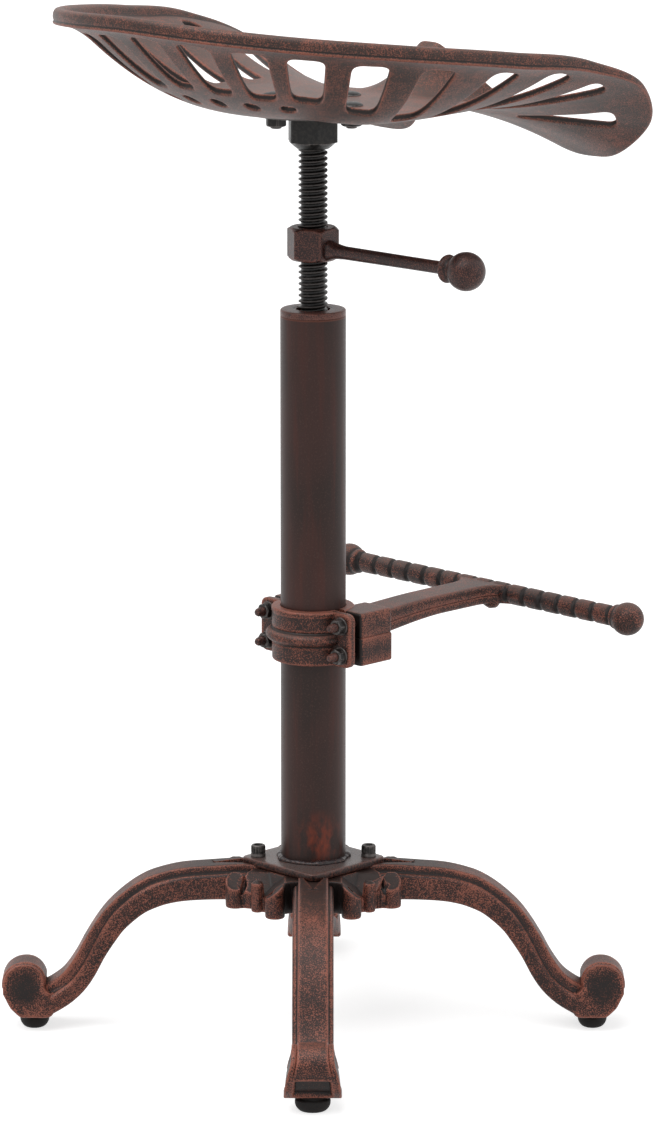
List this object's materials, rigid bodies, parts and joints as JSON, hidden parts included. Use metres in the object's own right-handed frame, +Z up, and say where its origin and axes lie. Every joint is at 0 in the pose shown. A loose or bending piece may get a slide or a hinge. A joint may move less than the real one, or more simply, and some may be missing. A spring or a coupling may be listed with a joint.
{
  "type": "tractor seat stool",
  "caption": "Height-adjustable stool with a slotted dished metal seat on a screw spindle, a lock nut with a ball handle, a clamped T-shaped footrest and scrolled cast legs.",
  "frame": {"origin": "on the floor at the column's axis, under the centre of the base", "axes": "+Z up along the column, the legs along X and Y, the picture taken looking along +Y; the seat faces 46.5 degrees from +X towards +Y and the footrest points 45 degrees from +X towards +Y"},
  "size_m": [0.4481, 0.4481, 0.726],
  "materials": {
    "cast_bronze": "antique bronze powder coat, rubbed to copper on the edges",
    "tube_bronze": "antique bronze powder coat, smooth and slightly streaked",
    "black_oxide": "black oxide steel, slightly oily",
    "pad_rubber": "matte black rubber"
  },
  "bodies": {
    "base": {"leg_casting": "cast_bronze", "foot_pads": "pad_rubber", "foot_pad_screws": "black_oxide", "base_plate": "cast_bronze", "base_screws": "black_oxide", "base_screw_washers": "black_oxide", "column_tube": "tube_bronze", "column_weld": "tube_bronze", "column_cap": "tube_bronze", "spindle_nut": "black_oxide"},
    "spindle_end": {"spindle_stop": "black_oxide"},
    "seat": {"threaded_spindle": "black_oxide", "seat_boss": "black_oxide", "seat_flange": "black_oxide", "seat_pan": "cast_bronze", "seat_bolts": "black_oxide", "seat_nuts": "black_oxide"},
    "lock": {"lock_nut": "cast_bronze", "handle_rod": "cast_bronze", "handle_collar": "cast_bronze", "handle_ball": "cast_bronze"},
    "footrest": {"clamp_front": "cast_bronze", "footrest_casting": "cast_bronze", "clamp_washers": "black_oxide", "clamp_nuts": "black_oxide", "clamp_bolts": "black_oxide"}
  },
  "joints": [
    {"name": "seat_height", "type": "slide", "parent": "base", "child": "spindle_end", "axis": [0, 0, 1], "range_m": [-0.0337, 0.0901]},
    {"name": "seat_turn", "type": "hinge", "parent": "spindle_end", "child": "seat", "pos_m": [0, 0, 0.5], "axis": [0, 0, 1], "range_deg": [-3024, 8100]},
    {"name": "lock_nut_turn", "type": "hinge", "parent": "seat", "child": "lock", "pos_m": [0, 0, 0.5548], "axis": [0, 0, 1], "continuous": true},
    {"name": "footrest_height", "type": "slide", "parent": "base", "child": "footrest", "axis": [0, 0, 1], "range_m": [-0.12, 0.15]}
  ],
  "couplings": [
    {"joint": "seat_height", "follows": "seat_turn", "m_per_rad": 0.00063662}
  ]
}
